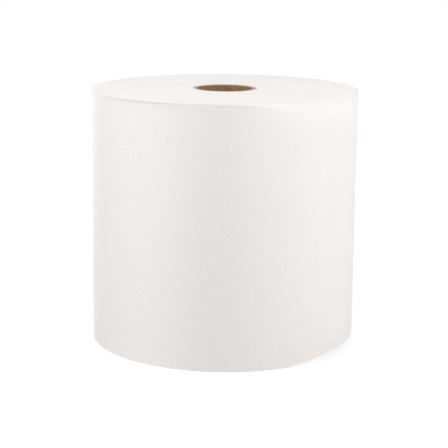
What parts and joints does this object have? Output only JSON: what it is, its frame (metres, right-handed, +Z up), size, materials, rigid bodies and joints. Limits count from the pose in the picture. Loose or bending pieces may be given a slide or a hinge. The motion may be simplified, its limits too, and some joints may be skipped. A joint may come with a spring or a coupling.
{
  "type": "paper towel roll",
  "caption": "Hard-wound white paper towel roll with a fine dotted emboss, wound on a board core with an open bore for a dispenser's spindle.",
  "frame": {"origin": "centre of the cut end that the roll stands on, on the core's axis", "axes": "+Z up along the core's axis; the loose end of the web leaves the roll in the quarter between -X and +Y"},
  "size_m": [0.2095, 0.2098, 0.2],
  "materials": {
    "towel_paper": "soft matt creped paper with a fine dotted emboss",
    "core_board": "raw brown kraft board, spirally wound"
  },
  "bodies": {
    "root": {"towel_web": "towel_paper", "core_tube": "core_board"}
  },
  "joints": []
}
